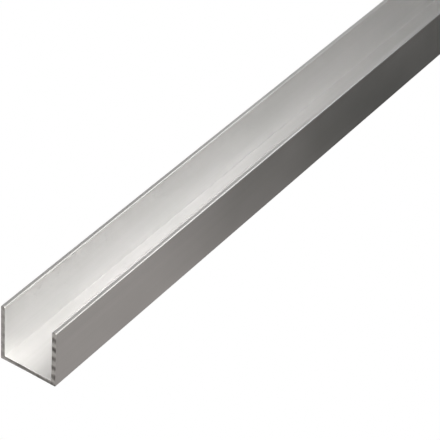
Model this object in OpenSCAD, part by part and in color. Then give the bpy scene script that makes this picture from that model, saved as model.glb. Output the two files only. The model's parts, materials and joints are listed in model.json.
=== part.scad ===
// Equal-sided aluminium U channel, extruded in one piece and sawn to length.
// It lies on its web with the open side up. The origin is the middle of the web's outer
// face, halfway along the length. X runs across the section, Y along the length, Z up.

/* [Section] */
// Overall width, over the outer faces of the two flanges
width = 20; // [10:0.5:60]
// Overall height, from the web's outer face to the flange tips
height = 20; // [10:0.5:60]
// Wall thickness of the web and of both flanges
wall = 1.5; // [1:0.1:4]

/* [Edges] */
// Radius on both edges of each flange tip
tip_r = 0.4; // [0.1:0.05:0.45]
// Radius on the two outer corners, where the flanges meet the web
heel_r = 0.2; // [0.1:0.05:1]
// Fillet radius in the two inner corners
root_r = 0.25; // [0.1:0.05:2]

/* [Length] */
// Length of the bar between its two sawn ends
length = 1000; // [100:50:3000]

/* [Hidden] */
$fn = 48;
inner_w = width - 2 * wall;
over = 1; // how far the slot's cutter runs past the tips
mill_finish = [0.77, 0.77, 0.76];

// The sliver between a square corner at the origin and an arc of radius r inside it
module spandrel(r) {
    difference() {
        square(r);
        translate([r, r]) circle(r);
    }
}

// One flange with its half of the web, in the first quadrant: web along x, flange along y
module half_section() {
    difference() {
        square([width / 2, height]);
        translate([-over, wall]) square([inner_w / 2 + over, height]);
        translate([width / 2, 0]) mirror([1, 0]) spandrel(heel_r);
        translate([width / 2, height]) rotate(180) spandrel(tip_r);
        translate([inner_w / 2, height]) mirror([0, 1]) spandrel(tip_r);
    }
    translate([inner_w / 2, wall]) mirror([1, 0]) spandrel(root_r);
}

module section() {
    half_section();
    mirror([1, 0]) half_section();
}

module u_channel() {
    color(mill_finish)
        rotate([90, 0, 0])
            linear_extrude(length, center = true)
                section();
}

u_channel();
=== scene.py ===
import json
import math

import bpy
from mathutils import Matrix, Vector


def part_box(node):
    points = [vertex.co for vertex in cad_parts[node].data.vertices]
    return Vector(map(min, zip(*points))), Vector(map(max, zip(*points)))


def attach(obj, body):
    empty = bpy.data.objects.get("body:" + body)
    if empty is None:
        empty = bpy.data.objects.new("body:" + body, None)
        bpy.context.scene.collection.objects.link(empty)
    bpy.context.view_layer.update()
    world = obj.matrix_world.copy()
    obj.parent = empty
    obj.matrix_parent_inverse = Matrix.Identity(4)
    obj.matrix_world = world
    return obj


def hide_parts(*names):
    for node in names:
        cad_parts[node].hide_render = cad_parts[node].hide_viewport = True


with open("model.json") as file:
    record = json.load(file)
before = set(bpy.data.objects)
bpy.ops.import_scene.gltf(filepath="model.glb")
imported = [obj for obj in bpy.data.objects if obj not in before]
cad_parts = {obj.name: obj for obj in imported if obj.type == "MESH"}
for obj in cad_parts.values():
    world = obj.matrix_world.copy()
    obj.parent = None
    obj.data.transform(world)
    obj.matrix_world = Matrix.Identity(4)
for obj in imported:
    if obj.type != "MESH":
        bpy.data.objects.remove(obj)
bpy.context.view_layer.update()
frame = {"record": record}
low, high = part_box("u_channel")
middle = (low + high) / 2
print("frame loaded")

millimetre = 0.001


def mountPlace(name):
    return next(Vector(mount["pos_m"]) for mount in frame["record"]["mounts"] if mount["name"] == name)


# Towards an azimuth and elevation in degrees: azimuth 0 is in front of the near end, and 90 to its right.
def heading(azimuth, elevation):
    a, e = math.radians(azimuth), math.radians(elevation)
    return Vector((math.sin(a) * math.cos(e), -math.cos(a) * math.cos(e), math.sin(e)))


def deselectAll():
    if bpy.context.object and bpy.context.object.mode != "OBJECT":
        bpy.ops.object.mode_set(mode="OBJECT")
    bpy.ops.object.select_all(action="DESELECT")


def editMode(piece):
    bpy.context.view_layer.objects.active = piece
    bpy.ops.object.mode_set(mode="EDIT")
    bpy.ops.mesh.select_mode(type="FACE")
    bpy.ops.mesh.select_all(action="DESELECT")


# Selects the faces or edges whose test is true. The mesh can only be read in object mode.
def selectWhere(piece, kind, test):
    bpy.ops.object.mode_set(mode="OBJECT")
    mesh = piece.data
    for element in (*mesh.vertices, *mesh.edges, *mesh.polygons):
        element.select = False
    for element in getattr(mesh, kind):
        element.select = test(mesh, element)
    bpy.ops.object.mode_set(mode="EDIT")


def cutAcross(place, direction):
    bpy.ops.mesh.select_all(action="SELECT")
    bpy.ops.mesh.bisect(plane_co=place, plane_no=direction)


channel = {
    "tipRadius": 0.4 * millimetre,
    "heelRadius": 0.2 * millimetre,  # outer corners
    "rootRadius": 0.25 * millimetre,  # inner corners
    "roundSegments": 6,
    "sawnEdge": 0.06 * millimetre,  # how far the file has broken the edges of the sawn ends
    "grid": 0.1875 * millimetre,  # pitch of the cuts over the section
    "endRows": (0.25, 0.6, 1.2, 2.5, 6),  # millimetres in from each sawn end
    "rows": 40,  # along the length
    "merge": 0.002 * millimetre,  # points closer than this become one
}
closeTo = 0.01 * millimetre  # how near two places count as the same
squareOn = 0.9  # how much of a face's normal lies along a direction that it faces


def isLengthwise(mesh, edge):
    a, b = (mesh.vertices[i].co for i in edge.vertices)
    return abs(a.y - b.y) > 0.5 * (high.y - low.y)


def onEdge(mesh, edge, x, z):
    a = mesh.vertices[edge.vertices[0]].co
    return isLengthwise(mesh, edge) and abs(abs(a.x) - x) < closeTo and abs(a.z - z) < closeTo


def onSawnRim(mesh, edge):
    a, b = (mesh.vertices[i].co for i in edge.vertices)
    return abs(a.y - b.y) < closeTo


def makeChannel():
    wall = mountPlace("slot_floor").z
    half = high.x
    inner = half - wall

    deselectAll()
    bpy.ops.mesh.primitive_cube_add(
        size=1, location=(middle.x, middle.y, wall / 2), scale=(2 * half, high.y - low.y, wall)
    )
    piece = bpy.context.object
    piece.name = "uChannelBar"
    bpy.ops.object.transform_apply(location=True, rotation=True, scale=True)

    # the two flanges grow out of the web's edge strips
    editMode(piece)
    for side in (-1, 1):
        cutAcross((side * inner, 0, 0), (1, 0, 0))
    selectWhere(
        piece, "polygons", lambda mesh, face: face.normal.z > squareOn and abs(face.center.x) > inner
    )
    bpy.ops.mesh.extrude_region_move(TRANSFORM_OT_translate={"value": (0, 0, high.z - wall)})

    # tips and heels, then the inner corners
    bpy.ops.mesh.select_mode(type="EDGE")
    rounds = (
        (channel["tipRadius"], ((half, high.z), (inner, high.z))),
        (channel["heelRadius"], ((half, low.z),)),
        (channel["rootRadius"], ((inner, wall),)),
    )
    for radius, corners in rounds:
        selectWhere(
            piece, "edges", lambda mesh, edge: any(onEdge(mesh, edge, *corner) for corner in corners)
        )
        bpy.ops.mesh.bevel(offset=radius, segments=channel["roundSegments"], profile=0.5, affect="EDGES")

    # the sawn ends become one face each, and their rims lose their sharpness
    for side in (-1, 1):
        selectWhere(piece, "polygons", lambda mesh, face: face.normal.y * side > squareOn)
        bpy.ops.mesh.dissolve_faces()
    bpy.ops.mesh.select_mode(type="EDGE")
    selectWhere(piece, "edges", onSawnRim)
    bpy.ops.mesh.bevel(offset=channel["sawnEdge"], segments=2, profile=0.5, affect="EDGES")

    # a fine grid over both sawn ends, and rows along the bar
    bpy.ops.mesh.select_mode(type="VERT")
    pitch = channel["grid"]
    for step in range(1, round(2 * half / pitch)):
        cutAcross((low.x + step * pitch, 0, 0), (1, 0, 0))
    for step in range(1, round(high.z / pitch)):
        cutAcross((0, 0, step * pitch), (0, 0, 1))
    for row in channel["endRows"]:
        cutAcross((0, low.y + row * millimetre, 0), (0, 1, 0))
        cutAcross((0, high.y - row * millimetre, 0), (0, 1, 0))
    spacing = (high.y - low.y) / channel["rows"]
    for row in range(1, channel["rows"]):
        cutAcross((0, low.y + row * spacing, 0), (0, 1, 0))
    bpy.ops.mesh.select_all(action="SELECT")
    bpy.ops.mesh.remove_doubles(threshold=channel["merge"])
    bpy.ops.mesh.normals_make_consistent(inside=False)
    bpy.ops.object.mode_set(mode="OBJECT")
    return piece


# Relief in the surface itself: saw marks on the ends, and shallow die lines along the bar. It only cuts
# into the metal, so the bar keeps its size.
relief = {
    "bladeCentre": (23 * millimetre, 198.8 * millimetre),  # x and z of the saw blade's axle
    "markPitch": 3.5 * millimetre,
    "markDepth": 0.04 * millimetre,
    "chatterGrain": 0.6 * millimetre,
    "chatterDepth": 0.02 * millimetre,
    "linePitch": 1.6 * millimetre,
    "lineLength": 90 * millimetre,
    "lineDepth": 0.004 * millimetre,
    "creaseAngle": 40,  # degrees, past which an edge shows as sharp
}
ringPeriod = 2 * math.pi / 20  # of a wood texture's rings, in its own units


# Pushes a vertex group of the piece in and out by a texture that is laid out at a place and scale.
def carve(piece, name, texture, place, scale, group, direction, strength, level):
    deselectAll()
    bpy.ops.object.empty_add(location=place)
    guide = bpy.context.object
    guide.scale = scale
    bpy.context.view_layer.objects.active = piece
    cut = piece.modifiers.new(name, "DISPLACE")
    cut.texture = texture
    cut.texture_coords = "OBJECT"
    cut.texture_coords_object = guide
    cut.vertex_group = group
    cut.direction = direction
    cut.strength = strength
    cut.mid_level = level
    bpy.ops.object.modifier_apply(modifier=cut.name)
    bpy.data.objects.remove(guide)


def makeRelief(piece):
    rings = bpy.data.textures.new("sawMarks", "WOOD")
    rings.wood_type = "RINGNOISE"
    rings.noise_scale = 0.5
    rings.turbulence = 1
    grain = bpy.data.textures.new("sawChatter", "CLOUDS")
    grain.noise_scale = 1
    lines = bpy.data.textures.new("dieLines", "CLOUDS")
    lines.noise_scale = 1
    lines.noise_depth = 3

    ringScale = (relief["markPitch"] / ringPeriod,) * 3
    grainScale = (relief["chatterGrain"],) * 3
    bladeX, bladeZ = relief["bladeCentre"]
    for end, inward in ((low.y, 1), (high.y, -1)):
        group = piece.vertex_groups.new(name="sawnEnd")
        edge = channel["sawnEdge"]
        group.add([v.index for v in piece.data.vertices if abs(v.co.y - end) < edge / 4], 1, "REPLACE")
        carve(piece, "marks", rings, (bladeX, end, bladeZ), ringScale, group.name, "Y",
              inward * relief["markDepth"], 0)
        carve(piece, "chatter", grain, (0, end, 0), grainScale, group.name, "Y",
              inward * relief["chatterDepth"], 0)

    skin = piece.vertex_groups.new(name="skin")
    fromEnd = 2 * channel["sawnEdge"]
    inside = [v.index for v in piece.data.vertices if low.y + fromEnd < v.co.y < high.y - fromEnd]
    skin.add(inside, 1, "REPLACE")
    lineScale = (relief["linePitch"], relief["lineLength"], relief["linePitch"])
    carve(piece, "lines", lines, (0, 0, 0), lineScale, skin.name, "NORMAL", relief["lineDepth"], 1)
    piece.vertex_groups.clear()

    deselectAll()
    piece.select_set(True)
    bpy.context.view_layer.objects.active = piece
    bpy.ops.object.shade_smooth_by_angle(angle=math.radians(relief["creaseAngle"]))


bar = makeChannel()
print("channel modelled:", len(bar.data.polygons), "faces")
makeRelief(bar)
print("relief carved")
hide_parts("u_channel")
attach(bar, "root")


view = {
    "azimuth": 31.5,
    "elevation": 37.94,
    "roll": 4.74,
    "distance": 0.6558,
    "lens": 172.8,  # a long lens, in the camera's own millimetres
    "aim": (9.64 * millimetre, 83.2 * millimetre),  # across from the middle, and along from the near end
    "nearest": 0.01,
}


def placeCamera():
    a, r = math.radians(view["azimuth"]), math.radians(view["roll"])
    back = heading(view["azimuth"], view["elevation"])
    right = Vector((math.cos(a), math.sin(a), 0))
    up = back.cross(right)
    right, up = right * math.cos(r) + up * math.sin(r), up * math.cos(r) - right * math.sin(r)
    across, along = view["aim"]
    aim = Vector((middle.x + across, low.y + along, middle.z))
    place = aim + back * view["distance"]

    data = bpy.data.cameras.new("camera")
    data.lens = view["lens"]
    data.clip_start = view["nearest"]
    camera = bpy.data.objects.new("camera", data)
    bpy.context.scene.collection.objects.link(camera)
    camera.matrix_world = Matrix((
        (right.x, up.x, back.x, place.x),
        (right.y, up.y, back.y, place.y),
        (right.z, up.z, back.z, place.z),
        (0, 0, 0, 1),
    ))
    bpy.context.scene.camera = camera


placeCamera()
bpy.context.scene.view_settings.view_transform = "Standard"
print("camera placed")


# One socket of a material's nodes. Sums and products of wires and numbers add Math nodes.
class Wire:
    def __init__(self, tree, socket=None):
        self.tree = tree
        self.socket = socket

    def node(self, kind, settings, inputs, output=0):
        made = self.tree.nodes.new("ShaderNode" + kind)
        for name, value in settings.items():
            if name == "stops":
                fillRamp(made.color_ramp, value)
            else:
                setattr(made, name, value)
        for name, value in inputs.items():
            if isinstance(value, Wire):
                self.tree.links.new(value.socket, made.inputs[name])
            else:
                made.inputs[name].default_value = value
        return Wire(self.tree, made.outputs[output])

    def math(self, operation, first, second):
        return self.node("Math", {"operation": operation}, {0: first, 1: second})

    def __add__(self, other):
        return self.math("ADD", self, other)

    def __radd__(self, other):
        return self.math("ADD", other, self)

    def __sub__(self, other):
        return self.math("SUBTRACT", self, other)

    def __rsub__(self, other):
        return self.math("SUBTRACT", other, self)

    def __mul__(self, other):
        return self.math("MULTIPLY", self, other)

    def __rmul__(self, other):
        return self.math("MULTIPLY", other, self)

    def __truediv__(self, other):
        return self.math("DIVIDE", self, other)

    def __pow__(self, other):
        return self.math("POWER", self, other)


def fillRamp(colours, stops):
    while len(colours.elements) < len(stops):
        colours.elements.new(1)
    for element, (position, value) in zip(colours.elements, stops):
        element.position = position
        element.color = (value, value, value, 1)


def newFinish(name):
    material = bpy.data.materials.new(name)
    material.use_nodes = True
    tree = material.node_tree
    tree.nodes.clear()
    start = Wire(tree)
    place = start.node("TexCoord", {}, {}, "Object")
    return material, place


def finishWith(shader, kind="Material"):
    out = shader.tree.nodes.new("ShaderNodeOutput" + kind)
    shader.tree.links.new(shader.socket, out.inputs["Surface"])


def noise(place, scale, detail=2, roughness=0.5):
    inputs = {"Vector": place, "Scale": scale, "Detail": detail, "Roughness": roughness}
    return place.node("TexNoise", {}, inputs)


def ramp(value, stops):
    return value.node("ValToRGB", {"stops": stops}, {"Fac": value})


def bump(height, distance):
    return height.node("Bump", {}, {"Height": height, "Distance": distance, "Strength": 1.0})


def alongAxis(place, axis):
    return place.node("SeparateXYZ", {}, {0: place}, axis)


# The Mix node has sockets for each kind of value: 6 and 7 are its colours, and output 2 is theirs.
def mixColours(factor, first, second):
    inputs = {0: factor, 6: first, 7: second}
    return factor.node("Mix", {"data_type": "RGBA", "blend_type": "MIX"}, inputs, 2)


# Patterns are in features a metre, with the amount of detail and its roughness. They run from 0 to 1 and
# average about 0.5, which is taken off where a pattern moves a value both ways.
mill = {
    "pale": (0.878, 0.87, 0.876, 1),
    "deep": (0.822, 0.826, 0.82, 1),
    "roughness": 0.45,
    "roughnessRange": 0.06,
    "stretch": 0.012,  # how much slower the pattern changes along the bar than across it
    "fineLines": (4200, 3, 0.6),
    "dieLines": (1100, 2),
    "bands": (240, 2),
    "bloom": (35, 4, 0.6),
    "toneShares": (0.3, 0.3, 0.4),  # of the die lines, the bands and the bloom
    "toneStops": ((0.35, 0.0), (0.65, 1.0)),
    "heightShares": (0.4, 0.6),  # of the fine lines and the die lines
    "lineDepth": 0.0012 * millimetre,
}


def millFinish():
    material, place = newFinish("millFinish")
    drawn = place.node("Mapping", {}, {"Vector": place, "Scale": (1, mill["stretch"], 1)})
    fineLines = noise(drawn, *mill["fineLines"])
    dieLines = noise(drawn, *mill["dieLines"])
    bands = noise(drawn, *mill["bands"])
    bloom = noise(place, *mill["bloom"])
    lineTone, bandTone, bloomTone = mill["toneShares"]
    tone = ramp(lineTone * dieLines + bandTone * bands + bloomTone * bloom, mill["toneStops"])
    fineHeight, dieHeight = mill["heightShares"]
    change = mill["roughnessRange"]
    shader = place.node("BsdfPrincipled", {}, {
        "Base Color": mixColours(tone, mill["deep"], mill["pale"]),
        "Metallic": 1,
        "Roughness": mill["roughness"] + change * (fineLines - 0.5) + change * (bloom - 0.5),
        "Normal": bump(fineHeight * fineLines + dieHeight * dieLines, mill["lineDepth"]),
    })
    finishWith(shader)
    return material


sawn = {
    "pale": (0.93, 0.925, 0.91, 1),
    "deep": (0.24, 0.235, 0.225, 1),
    "roughness": 0.45,
    "roughnessRange": 0.1,
    "ringWobble": {"Distortion": 1.2, "Detail": 3, "Detail Scale": 2.5, "Detail Roughness": 0.6},
    "scratches": (1300, 3, 0.6),
    "blotches": (420, 2),
    "toneStops": ((0.1, 0.0), (0.9, 1.0)),
    "tone": 0.55,  # the middle of the tones
    "markTone": 0.8,  # how far the marks, the blotches and the scratches each move the tone
    "blotchTone": 1.3,
    "scratchTone": 0.5,
    "scratchHeight": 0.5,  # as a share of the marks'
    "markDepth": 0.02 * millimetre,
    "strength": 0.6,  # of the saw's marks at the middle of the bar
    "fade": 38,  # per metre: how fast the marks fade from the right flange to the left
    "leftPale": 0.18,  # how much paler the left flange's end is, as a share of the tones
}


def sawnFinish():
    material, place = newFinish("sawnFinish")
    bladeX, bladeZ = relief["bladeCentre"]
    fromBlade = place.node("VectorMath", {"operation": "SUBTRACT"}, {0: place, 1: (bladeX, 0, bladeZ)})
    settings = {"wave_type": "RINGS", "rings_direction": "Y", "wave_profile": "SIN"}
    rings = {"Vector": fromBlade, "Scale": ringPeriod / relief["markPitch"], **sawn["ringWobble"]}
    marks = place.node("TexWave", settings, rings, "Fac")
    scratches = noise(place, *sawn["scratches"])
    blotches = noise(place, *sawn["blotches"])
    across = alongAxis(place, "X")
    strength = sawn["strength"] + across * sawn["fade"]
    leftward = (high.x - across) / (high.x - low.x)
    sawMarks = strength * (sawn["markTone"] * (marks - 0.5) + sawn["blotchTone"] * (blotches - 0.5))
    tone = sawn["tone"] + sawMarks + sawn["scratchTone"] * (scratches - 0.5)
    tone = tone + sawn["leftPale"] * leftward ** 2
    shader = place.node("BsdfPrincipled", {}, {
        "Base Color": mixColours(ramp(tone, sawn["toneStops"]), sawn["deep"], sawn["pale"]),
        "Metallic": 1,
        "Roughness": sawn["roughness"] + sawn["roughnessRange"] * (scratches - 0.5),
        "Normal": bump(marks + sawn["scratchHeight"] * scratches, sawn["markDepth"]),
    })
    finishWith(shader)
    return material


def dressChannel(piece):
    piece.data.materials.clear()
    piece.data.materials.append(millFinish())
    piece.data.materials.append(sawnFinish())
    for face in piece.data.polygons:
        onEnd = abs(face.normal.y) > squareOn
        face.material_index = 1 if onEnd else 0


dressChannel(bar)
print("finishes made")


floorLook = {
    "size": 60,
    "gap": 0.05 * millimetre,
    # what the metal sees of the floor: metres from the near end of the bar, and how bright it is there
    "glow": (
        (-0.05, 0.24), (0.055, 0.235), (0.1, 0.108), (0.14, 0.053),
        (0.18, 0.0), (0.26, 0.02), (0.36, 0.17), (0.48, 0.35),
    ),
    "glowTint": (1, 0.925, 0.89, 1),
}


def makeFloor():
    deselectAll()
    bpy.ops.mesh.primitive_plane_add(size=floorLook["size"], location=(0, 0, low.z - floorLook["gap"]))
    floor = bpy.context.object
    floor.name = "paleFloor"
    material, place = newFinish("paleFloor")
    seen = place.node("LightPath", {}, {}, "Is Camera Ray")
    white = place.node("Emission", {}, {"Color": (1, 1, 1, 1), "Strength": 1.0})
    near, far = floorLook["glow"][0][0], floorLook["glow"][-1][0]
    span = far - near
    stops = [((step - near) / span, light) for step, light in floorLook["glow"]]
    strength = ramp((alongAxis(place, "Y") - (low.y + near)) / span, stops)
    glow = place.node("Emission", {}, {"Color": floorLook["glowTint"], "Strength": strength})
    finishWith(place.node("MixShader", {}, {0: seen, 1: glow, 2: white}))
    floor.data.materials.append(material)


# Softboxes round the near end of the bar: azimuth and elevation in degrees, metres away, watts and colour.
lamps = {
    "overFront": (0, 70, 0.3, 0.845, (1, 0.97, 0.96)),
    "frontLeft": (320, 45, 0.3, 0.72, (0.96, 1, 0.95)),
    "right": (75, 45, 0.5, 2.95, (1, 0.97, 0.88)),
    "key": (155, 40, 0.3, 0.088, (1, 1, 1)),
    "behindLow": (175, 40, 0.3, 0.036, (1, 1, 1)),
    "behindHigh": (175, 55, 0.3, 0.029, (1, 0.88, 0.8)),
    "leftBack": (200, 15, 0.3, 0.013, (1, 1, 1)),
}
boxShare = 0.4  # side of a lamp as a share of its distance
aimAlong = 0.03  # metres from the near end to where the lamps are aimed

# Long softboxes beside and beyond the rest of the bar: middle, way each faces, width and length, and watts a
# square metre.
longBoxes = {
    "farRight": ((0.35, 0.9, 0.28), (-0.35, 0, -0.28), (0.35, 0.8), 3.1),
    "beyondRight": ((0.35, 1.2, 0.28), (-0.35, -0.1, -0.28), (0.35, 0.8), 3.1),
    "farLeft": ((-0.35, 0.9, 0.28), (0.35, 0, -0.28), (0.35, 0.8), 3.1),
    "rightSide": ((0.5, 0.25, 0.15), (-1, 0.2, -0.2), (0.25, 0.9), 0.37),
    "leftSide": ((-0.5, 0.25, 0.15), (1, 0.2, -0.2), (0.25, 0.9), 1.9),
    "beyondEnd": ((0, 1.3, 0.3), (0, -1, -0.3), (1.2, 0.5), 1.6),
}


def addSoftbox(name, place, turn, size, power, colour=(1, 1, 1)):
    data = bpy.data.lights.new(name, "AREA")
    data.shape = "RECTANGLE"
    data.size, data.size_y = size
    data.energy = power
    data.color = colour
    light = bpy.data.objects.new(name, data)
    light.location = place
    light.rotation_euler = turn.to_euler()
    bpy.context.scene.collection.objects.link(light)


def makeLamps():
    nearEnd = Vector((middle.x, low.y, low.z))
    aim = Vector((middle.x, low.y + aimAlong, middle.z))
    for name, (azimuth, elevation, distance, power, colour) in lamps.items():
        place = nearEnd + heading(azimuth, elevation) * distance
        side = boxShare * distance
        turn = (aim - place).to_track_quat("-Z", "Y")
        addSoftbox(name, place, turn, (side, side), power, colour)
    for name, (place, faces, size, light) in longBoxes.items():
        back = -Vector(faces).normalized()
        lengthwise = Vector((0, 1, 0))
        lengthwise = (lengthwise - back * lengthwise.dot(back)).normalized()
        turn = Matrix((lengthwise.cross(back), lengthwise, back)).transposed()
        width, length = size
        addSoftbox(name, place, turn, size, light * width * length)


# The room is brighter on one side: its azimuth, and the light by how squarely a direction faces it.
room = {
    "brightSide": 40,
    "stops": ((0.1, 0.02), (0.6, 0.7)),
}


def makeWorld():
    world = bpy.data.worlds.new("studio")
    bpy.context.scene.world = world
    world.use_nodes = True
    tree = world.node_tree
    tree.nodes.clear()
    start = Wire(tree)
    seen = start.node("LightPath", {}, {}, "Is Camera Ray")
    white = start.node("Background", {}, {"Color": (1, 1, 1, 1), "Strength": 1.0})
    sight = start.node("TexCoord", {}, {}, "Generated")
    brightSide = heading(room["brightSide"], 0)
    settings = {"operation": "DOT_PRODUCT"}
    squareness = start.node("VectorMath", settings, {0: sight, 1: brightSide}, "Value")
    strength = ramp(squareness, room["stops"])
    lit = start.node("Background", {}, {"Color": (1, 1, 1, 1), "Strength": strength})
    finishWith(start.node("MixShader", {}, {0: seen, 1: lit, 2: white}), "World")


makeFloor()
makeLamps()
makeWorld()
print("studio lit")
